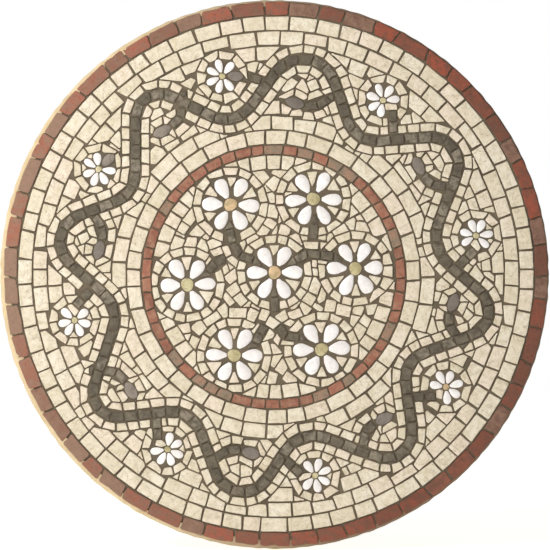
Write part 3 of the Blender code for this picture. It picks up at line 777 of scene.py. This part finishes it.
tendril_paths = []
for clock, share, _ in VINE_TURNS[0::2]:
    points = [in_turn_frame(clock, share, along, out) for along, out in (*TENDRIL, LEAF_PLACE)]
    path = smooth(points)
    tendril_paths.append(path[np.hypot(*(path - points[-1]).T) > LEAF_LENGTH / 2 + JOINT])
daisy_stem_paths = {}
for i, (clock, _, _) in enumerate(VINE_TURNS[1::2], start=1):
    stem = DAISIES_WITH_LEAVES.get(i, DAISY_STEM)
    if stem:
        points = [in_turn_frame(clock, DAISY_REACH, along, out) for along, out in stem]
        daisy_stem_paths[i] = smooth(points)
flower_stem_paths = {
    name: smooth([stem_point(*step) for step in steps]) for name, steps in FLOWER_STEMS.items()
}
twigs = {f"tendril_{i}": path for i, path in enumerate(tendril_paths, start=1)}
twigs |= {f"daisy_stem_{i}": path for i, path in daisy_stem_paths.items()}
twigs |= {f"flower_stem_{name}": path for name, path in flower_stem_paths.items()}
for seed, (name, path) in enumerate(twigs.items(), start=100):
    twig = stone_blocks(f"{name}_stones", lay_twig(path), seed, corner=0.0010, rough=0.0007)
    twig.data.materials.append(vine_stone)
    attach(twig, "root")
    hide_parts(name)

# The leaves: one lens-shaped stone at the end of each tendril, and one beside two daisies. Ground
# to shape, with a low belly.
LEAF_WIDTH = 0.0419 * FIELD_RADIUS
LEAF_TURN = 172.0
DAISY_STEM_LEAN = 15.0
DAISY_LEAF_LENGTH = 0.0586 * FIELD_RADIUS
DAISY_LEAF_WIDTH = 0.0373 * FIELD_RADIUS
DAISY_HEART_RADIUS = 0.0128 * FIELD_RADIUS
LEAF_POINTS = 28


def placed(shape, centre, turn):
    """Moves outlines (..., places, 2), drawn along x from the origin, to a place and a turn."""
    turn = np.asarray(turn)[..., None]
    along, aside = shape[..., 0], shape[..., 1]
    x = along * np.cos(turn) - aside * np.sin(turn)
    y = along * np.sin(turn) + aside * np.cos(turn)
    return np.asarray(centre)[..., None, :] + np.stack([x, y], axis=-1)


def bellied(name, outlines, crowns, dome, seed):
    """Ground stones with a bellied face. Each ring is a share of the outline, shrunk towards its
    crown, and the face falls from the crown by `dome` times the cube of that share."""
    chance = np.random.default_rng(seed)
    shares = np.array([1.0, 1.0, 0.965, 0.88, 0.70, 0.46, 0.2])[:, None, None]
    rings = crowns[:, None, None] + (outlines - crowns[:, None])[:, None] * shares
    rise = chance.normal(0, 0.0001, (len(outlines), 1, 1))
    tilt = chance.normal(0, 0.018, (len(outlines), 1, 1, 2))
    slope = ((rings - crowns[:, None, None]) * tilt).sum(axis=-1)
    height = STONE_TOP + rise + slope - dome * shares[..., 0] ** 3
    height[:, 0] = STONE_TOP - STONE_FOOT
    rings = np.concatenate([rings, height[..., None]], axis=-1)
    foot = np.full((len(crowns), 1, 1), STONE_TOP - STONE_FOOT)
    low = np.concatenate([crowns[:, None], foot], axis=-1)
    high = np.concatenate([crowns[:, None], STONE_TOP + rise], axis=-1)
    obj = stone_mesh(name, rings, np.concatenate([low, high], axis=1), chance)
    obj.data.polygons.foreach_set("use_smooth", np.full(len(obj.data.polygons), True))
    return obj


def leaf(name, place, turn, length, width, seed):
    """A lens: (cos a, sin a |sin a|^0.25) times half its length and width, slightly uneven."""
    a = np.linspace(0, 2 * np.pi, LEAF_POINTS, endpoint=False)
    uneven = 1 + 0.035 * np.sin(2 * a + seed) + 0.025 * np.sin(3 * a + 2 * seed)
    lens = np.stack([np.cos(a) * length, np.sin(a) * np.abs(np.sin(a)) ** 0.25 * width], axis=-1)
    outline = placed(lens * uneven[:, None] / 2, place, turn)
    keep(outline[::4])
    stone = bellied(f"{name}_stone", outline[None], np.array([place]), 0.0007, seed)
    stone.data.materials.append(leaf_stone)
    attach(stone, "root")
    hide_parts(name)


# Grey-purple slate-like limestone: fine, cool, faintly streaked, honed.
leaf_stone = stone_material(
    "honed_purple_limestone", ("80756A", "6F655B", "887D71", "625850"), "524940", 0.0012, 0.5, 0.0003
)
for i, (clock, share, _) in enumerate(VINE_TURNS[0::2], start=1):
    place = in_turn_frame(clock, share, *LEAF_PLACE)
    leaf(f"leaf_{i}", place, math.radians(LEAF_TURN - clock), LEAF_LENGTH, LEAF_WIDTH, i)
for i in DAISIES_WITH_LEAVES:
    clock = VINE_TURNS[2 * i - 1][0]
    turn = math.radians(-clock - DAISY_STEM_LEAN)
    distance = DAISY_HEART_RADIUS + 2 * JOINT + DAISY_LEAF_LENGTH / 2
    place = on_circle(on_clock(clock, DAISY_REACH * FIELD_RADIUS), distance, turn)
    leaf(f"daisy_leaf_{i}", place, turn, DAISY_LEAF_LENGTH, DAISY_LEAF_WIDTH, 20 + i)

# The daisies and the flowers: six white marble drops, tumbled till they shine, round a rounded
# heart of speckled stone.
DAISY_PETAL_LENGTH = 0.0532 * FIELD_RADIUS
DAISY_PETAL_WIDTH = 0.0298 * FIELD_RADIUS
DAISY_PLACES = 7
DAISY_DOME = 0.0011
FLOWER_PETAL_WIDTH = 0.1042 * INNER_COURSE_RADIUS
FLOWER_DOME = 0.0019
PETALS = 6
PETAL_POINTS = 24
PETAL_START = 0.62
PETAL_CROWN = 0.62
HEART_GAP = 0.0006


def white_flower(name, centre, turns, heart, length, width, dome, seed):
    """Each petal is a drop: for an angle a round it, along = (1 - cos a) / 2 and aside =
    sin a sin(a / 2), without the sharp start, and a little longer, fatter or bent each time."""
    chance = np.random.default_rng(seed)
    a = np.linspace(PETAL_START, 2 * np.pi - PETAL_START, PETAL_POINTS)
    first = (1 - math.cos(PETAL_START)) / 2
    along = ((1 - np.cos(a)) / 2 - first) / (1 - first)
    aside = -np.sin(a) * np.sin(a / 2) / 0.77 / 2
    size = chance.uniform([[0.94], [0.90], [-0.10]], [[1.04], [1.06], [0.10]], (3, len(turns)))
    bent = aside * size[1][:, None] * width + size[2][:, None] * (along - along**2) * width
    drops = np.stack([HEART_GAP + along * size[0][:, None] * (length - HEART_GAP), bent], axis=-1)
    drops[..., 0] += heart
    turns = np.asarray(turns) + chance.normal(0, 0.03, len(turns))
    outlines = placed(drops, centre, turns)
    crowns = on_circle(centre, heart + PETAL_CROWN * length, turns)
    for outline in outlines:
        keep(outline[::3])
    petals = bellied(f"{name}_petals", outlines, crowns, dome, seed)
    petals.data.materials.append(white_marble)
    round_a = np.linspace(0, 2 * np.pi, PETAL_POINTS, endpoint=False)
    uneven = 1 + 0.05 * np.sin(2 * round_a + seed) + 0.04 * np.sin(3 * round_a + 3 * seed)
    outline = on_circle(centre, 1, round_a) - centre
    outline = centre + outline * (heart - HEART_GAP / 2) * uneven[:, None]
    keep(outline[::3])
    core = bellied(f"{name}_heart", outline[None], np.array([centre]), dome * 0.6, seed + 1)
    core.data.materials.append(heart_stone)
    for piece in (petals, core):
        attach(piece, "root")
        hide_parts(name)


# White marble, tumbled: bright, faintly clouded with grey, a soft shine with sharp small lights.
white_marble = stone_material(
    "tumbled_white_marble", ("EEEAE7", "E7E2DE", "F2F0EE", "DDD5D0"), "CDC3BC", 0.0009, 0.24, 0.00012
)
# The hearts, granite: tan and olive grains of about a millimetre with white and dark ones.
heart_stone = stone_material(
    "speckled_granite", ("CDC49E", "B9AD80", "D0B089", "9C8D62"), "6F6240", 0.0026, 0.45, 0.0004, 0.9
)
for i, (clock, _, _) in enumerate(VINE_TURNS[1::2], start=1):
    first = math.radians(-clock - DAISY_STEM_LEAN)
    turns = [first + 2 * math.pi * k / DAISY_PLACES for k in range(1, PETALS + 1)]
    white_flower(
        f"daisy_{i}", on_clock(clock, DAISY_REACH * FIELD_RADIUS), turns,
        DAISY_HEART_RADIUS, DAISY_PETAL_LENGTH, DAISY_PETAL_WIDTH, DAISY_DOME, 200 + 2 * i,
    )
for i, name in enumerate(FLOWERS):
    centre, first = flower_place(name)
    turns = [first + 2 * math.pi * k / PETALS for k in range(PETALS)]
    white_flower(
        f"flower_{name}", centre, turns,
        FLOWER_HEART_RADIUS, FLOWER_PETAL_LENGTH, FLOWER_PETAL_WIDTH, FLOWER_DOME, 300 + 2 * i,
    )

# The stems' last stones: dark wedges between the two petals where a stem meets its flower.
WEDGE_START = 0.0170
WEDGE_END = 0.0297
WEDGE_HALF_WIDTH = 0.0056


def gap_wedge(shorter=0.0):
    """A wedge along x between two petals, with its narrow end moved out by `shorter`."""
    start = WEDGE_START + shorter
    half = WEDGE_HALF_WIDTH
    return np.array([(start, -half / 5), (WEDGE_END, -half), (WEDGE_END, half), (start, half / 5)])


for seed, (name, steps) in enumerate(FLOWER_STEMS.items(), start=150):
    ends = [flower_place(first) + (second,) for first, second in steps if isinstance(first, str)]
    places = [placed(gap_wedge(), centre, turn + math.radians(way)) for centre, turn, way in ends]
    wedges = [number for outline in places if (number := lay(outline)) is not None]
    if wedges:
        stones = stone_blocks(f"flower_stem_{name}_wedges", wedges, seed)
        stones.data.materials.append(vine_stone)
        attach(stones, "root")
        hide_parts(f"flower_stem_{name}")

# The cream field: cream marble nipped by hand to four-sided and three-sided stones. Small ones
# hug the vine, the twigs and the flowers, long ones run in rings inside and outside the vine and
# along the inner course, and the rest are cut to fit what is left.
HUG_DEPTH = 0.0086
HUG_LENGTHS = (0.0125, 0.0185)
RING_DEPTH = 0.0150
RING_LENGTHS = (0.019, 0.031)
INNER_RING_LENGTHS = (0.013, 0.021)
LEAST_AREA = 3.0e-5
LEAST_WIDTH = 0.0047
RING_LEAST_AREA = 6e-5
WEDGE_LEAST_AREA = 1.6e-5
ROWS_OF_RINGS = 3
ON_LEFT = 1e-6
ON_RIGHT = -ON_LEFT
UNEVEN = 0.0009
CELL = 0.001
CELLS = 600
FILL_WIDTHS = (0.0095, 0.0135)
FILL_LENGTHS = (0.0105, 0.0185)
FILL_SPACING = 26
FILL_ROUNDS = 60
FILL_TRIES = slice(0, 4000, 3)
CROWD_REACH = 9
NEIGHBOUR_REACH = 0.008
STRETCHES = (0.0022, 0.0011, 0.0005)
WIDEST_JOINT = 1.9
# For each time round of filling: the depths to start and end at, and a stone's least area and width.
FILL_PASSES = ((5, 4, 6.0e-5, 0.0062), (4, 2, LEAST_AREA, LEAST_WIDTH), (2, 2, 1.8e-5, 0.0034))
chance = np.random.default_rng(11)


def uneven_marks(length, shortest, longest):
    """Joint places along a length, with stones between two given lengths, fitted to its end."""
    steps = chance.uniform(shortest, longest, int(length / shortest) + 2)
    marks = np.r_[0, np.cumsum(steps)]
    marks = marks[:np.searchsorted(marks, length - shortest / 2) + 1]
    return marks * length / marks[-1]


def lay_row(path, near, depth, lengths, least_area=LEAST_AREA):
    """A row of stones on the left of a path (on its right for a negative `near`), from `near` to
    `depth` further out, with joints square to it and a little askew."""
    side = math.copysign(1, near)
    lefts = across(path)
    row_middle = path + lefts * (near + side * depth / 2)
    marks = uneven_marks(length_of(row_middle), *lengths)
    travelled = np.r_[0, np.cumsum(np.hypot(*np.diff(row_middle, axis=0).T))]
    places, out = (
        np.stack([np.interp(marks, travelled, array[:, i]) for i in (0, 1)], axis=-1)
        for array in (path, lefts)
    )
    ahead = np.stack([out[:, 1], -out[:, 0]], axis=-1)
    skew = chance.uniform(-0.0012, 0.0012, (len(marks), 1))
    inner = places + out * near
    outer = places + out * (near + side * depth) + ahead * skew
    quads = between_joints(inner, outer, False)
    inwards = quads.mean(axis=1, keepdims=True) - quads
    inwards /= np.linalg.norm(inwards, axis=-1)[..., None]
    quads += inwards * chance.uniform(0, UNEVEN, quads.shape[:2])[..., None]
    return [number for quad in quads if (number := lay(quad, least_area, LEAST_WIDTH)) is not None]


def ring(centre, radius):
    """A circle as a path that runs clockwise, so that its left is outside."""
    start = chance.uniform(0, 2 * math.pi)
    return on_circle(centre, radius, start - np.linspace(0, 2 * math.pi, 721))


def hug(path, clear):
    """A row of small stones along either side of a path, `clear` of its middle."""
    sides = (clear, -clear)
    return [number for near in sides for number in lay_row(path, near, HUG_DEPTH, HUG_LENGTHS)]


VINE_CLEAR = VINE_WIDTH / 2 + JOINT
TWIG_CLEAR = TWIG_WIDTH / 2 + JOINT
DAISY_CLEAR = DAISY_HEART_RADIUS + DAISY_PETAL_LENGTH + JOINT
FLOWER_CLEAR = FLOWER_HEART_RADIUS + FLOWER_PETAL_LENGTH + JOINT
cream = hug(vine_line, VINE_CLEAR)
for clock, _, _ in VINE_TURNS[1::2]:
    centre = on_clock(clock, DAISY_REACH * FIELD_RADIUS)
    cream += lay_row(ring(centre, DAISY_CLEAR), ON_LEFT, HUG_DEPTH, HUG_LENGTHS)
for path in tendril_paths:
    cream += hug(path, TWIG_CLEAR)
a = np.linspace(0, 2 * np.pi, 200)
half_length, half_width = LEAF_LENGTH / 2 + JOINT, LEAF_WIDTH / 2 + JOINT
oval = np.stack([np.cos(-a) * half_length, np.sin(-a) * half_width], axis=-1)
for clock, share, _ in VINE_TURNS[0::2]:
    place = in_turn_frame(clock, share, *LEAF_PLACE)
    around = placed(oval, place, math.radians(LEAF_TURN - clock))
    cream += lay_row(around, ON_LEFT, HUG_DEPTH, HUG_LENGTHS)
for name in FLOWERS:
    centre, turn = flower_place(name)
    for k in range(PETALS):
        towards = turn + 2 * math.pi * (k + 0.5) / PETALS
        wedge = placed(gap_wedge(chance.uniform(0, 0.0022)), centre, towards)
        number = lay(wedge, WEDGE_LEAST_AREA, NARROWEST)
        if number is not None:
            cream.append(number)
    cream += lay_row(ring(centre, FLOWER_CLEAR), ON_LEFT, HUG_DEPTH, HUG_LENGTHS)
for path in flower_stem_paths.values():
    cream += hug(path, TWIG_CLEAR)
step = RING_DEPTH + JOINT
for row in range(ROWS_OF_RINGS):
    circle = ring(STONES_SHIFT, FIELD_RADIUS - step * row)
    cream += lay_row(circle, ON_RIGHT, RING_DEPTH, RING_LENGTHS, RING_LEAST_AREA)
for row in range(ROWS_OF_RINGS):
    circle = ring(INNER_COURSE_SHIFT, INNER_COURSE_RADIUS + JOINT + step * row)
    cream += lay_row(circle, ON_LEFT, RING_DEPTH, RING_LENGTHS, RING_LEAST_AREA)
circle = ring(INNER_COURSE_SHIFT, INNER_COURSE_RADIUS - INNER_COURSE_WIDTH - JOINT)
cream += lay_row(circle, ON_RIGHT, RING_DEPTH, INNER_RING_LENGTHS, RING_LEAST_AREA)


def cover(free, outline, margin):
    """Marks the cells within `margin` of an outline as taken."""
    reach = np.array([outline.min(axis=0), outline.max(axis=0)]) + [[-margin], [margin]]
    low, high = (reach / CELL + CELLS / 2).clip(0, CELLS - 1).astype(int) + [[0], [1]]
    x = ((np.arange(low[0], high[0]) + 0.5 - CELLS / 2) * CELL)[:, None]
    y = ((np.arange(low[1], high[1]) + 0.5 - CELLS / 2) * CELL)[None]
    taken = True
    for corner, normal in zip(outline, outward(outline)):
        taken = taken & ((x - corner[0]) * normal[0] + (y - corner[1]) * normal[1] < margin)
    free[low[0]:high[0], low[1]:high[1]] &= ~taken


def depth_of(free):
    """How many cells deep each free cell lies, by peeling one layer after another."""
    depth = free.astype(int)
    left = free
    while left.any():
        inner = left.copy()
        inner[1:] &= left[:-1]
        inner[:-1] &= left[1:]
        inner[:, 1:] &= left[:, :-1]
        inner[:, :-1] &= left[:, 1:]
        left = inner
        depth += left
    return depth


def crowding(free, reach):
    """The share of taken cells in a square round each cell, from running sums."""
    sums = np.pad((~free).astype(float), reach + 1, constant_values=1).cumsum(axis=0).cumsum(axis=1)
    n = 2 * reach + 1
    box = sums[n:, n:] - sums[:-n, n:] - sums[n:, :-n] + sums[:-n, :-n]
    return box[:CELLS, :CELLS] / n**2


def beside_nearest(place):
    """A four-sided stone that stands against the side of the laid stone nearest to a place."""
    near = near_stones(place[None], spare=0.03)
    gaps = ((place - laid_corners[near]) * laid_normals[near]).sum(axis=-1)
    gaps[(laid_normals[near] == 0).all(axis=-1)] = -1
    i = gaps.max(axis=1).argmin()
    j = gaps[i].argmax()
    normal = laid_normals[near[i], j]
    foot = place - normal * (gaps[i, j] - JOINT)
    width = chance.uniform(*FILL_WIDTHS)
    half = chance.uniform(*FILL_LENGTHS) / 2
    along = np.array([-normal[1], normal[0]]) * half
    lean = chance.uniform(-0.12, 0.12, (2, 1)) * along
    top = foot + along + normal * width + lean[0], foot - along + normal * width + lean[1]
    return np.array([foot - along, foot + along, *top])


def fill(deepest, shallowest, least_area, least_width):
    """Lays stones against their neighbours, in the most crowded free places first. Cells where
    none fits are given up."""
    free = np.hypot(*np.meshgrid(*[np.arange(CELLS) - CELLS / 2 + 0.5] * 2)) * CELL < FIELD_RADIUS
    for outline in laid:
        cover(free, outline, JOINT)
    for name in FLOWERS:
        cover(free, on_circle(flower_place(name)[0], WEDGE_START, np.linspace(0, 6, 20)), JOINT)
    made = []
    for level in range(deepest, shallowest - 1, -1):
        for _ in range(FILL_ROUNDS):
            depth = depth_of(free)
            score = np.where((depth >= level) & (depth <= level + 1), crowding(free, CROWD_REACH), 0)
            order = np.argsort(-score.ravel())[:np.count_nonzero(score)]
            if not len(order):
                break
            spaced = np.zeros_like(free)
            for cell in order[FILL_TRIES]:
                x, y = divmod(int(cell), CELLS)
                if spaced[x, y]:
                    continue
                left, low = max(0, x - FILL_SPACING), max(0, y - FILL_SPACING)
                spaced[left:x + FILL_SPACING, low:y + FILL_SPACING] = True
                place = (np.array([x, y]) + 0.5 - CELLS / 2) * CELL
                number = lay(beside_nearest(place), least_area, least_width)
                if number is None:
                    free[x - 1:x + 2, y - 1:y + 2] = False
                    continue
                made.append(number)
                cover(free, laid[number], JOINT)
    return made


def stretch(number):
    """Moves each corner of a stone along the lines of its two sides, as long as the stone stays
    convex and between one and two joints away from its neighbours."""
    outline = laid[number]
    near = near_stones(outline, spare=NEIGHBOUR_REACH)
    near = near[near != number]
    for reach in STRETCHES:
        for corner in range(len(outline)):
            clear = chance.uniform(1.0, WIDEST_JOINT) * JOINT
            for other in (corner - 1, (corner + 1) % len(outline)):
                along = outline[corner] - outline[other]
                trial = outline.copy()
                trial[corner] += along * reach / np.hypot(*along)
                if is_convex(trial) and clearances(trial, near).min() > clear:
                    outline = trial
    keep(outline, number)


for limits in FILL_PASSES:
    cream += fill(*limits)
    for number in cream:
        stretch(number)

# Cream marble, honed: warm and pale, each stone of its own shade, some pinkish or greyer, with
# fine veins and a few open pits.
cream_marble = stone_material(
    "honed_cream_marble", ("E2D8C4", "D6CAB1", "E0D1BD", "C5B799"), "8F7D60", 0.0011, 0.55, 0.0005, 0.7
)
middles = laid_middles[cream]
in_middle = np.hypot(*(middles - INNER_COURSE_SHIFT).T) < INNER_COURSE_RADIUS
start, end = vine_line[:-1, None], vine_line[1:, None]
spans = (start[..., 1] > middles[:, 1]) != (end[..., 1] > middles[:, 1])
rise = np.where(spans, end[..., 1] - start[..., 1], 1)
crossing = start[..., 0] + (middles[:, 1] - start[..., 1]) / rise * (end[..., 0] - start[..., 0])
inside_vine = (spans & (crossing > middles[:, 0])).sum(axis=0) % 2 == 1
regions = (
    ("outer_field", ~inside_vine & ~in_middle), ("inner_field", inside_vine & ~in_middle),
    ("middle_field", in_middle),
)
for seed, (node, chosen) in enumerate(regions, start=41):
    field = stone_blocks(f"{node}_stones", np.array(cream)[chosen], seed, rough=0.0003)
    field.data.materials.append(cream_marble)
    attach(field, "root")
    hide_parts(node)
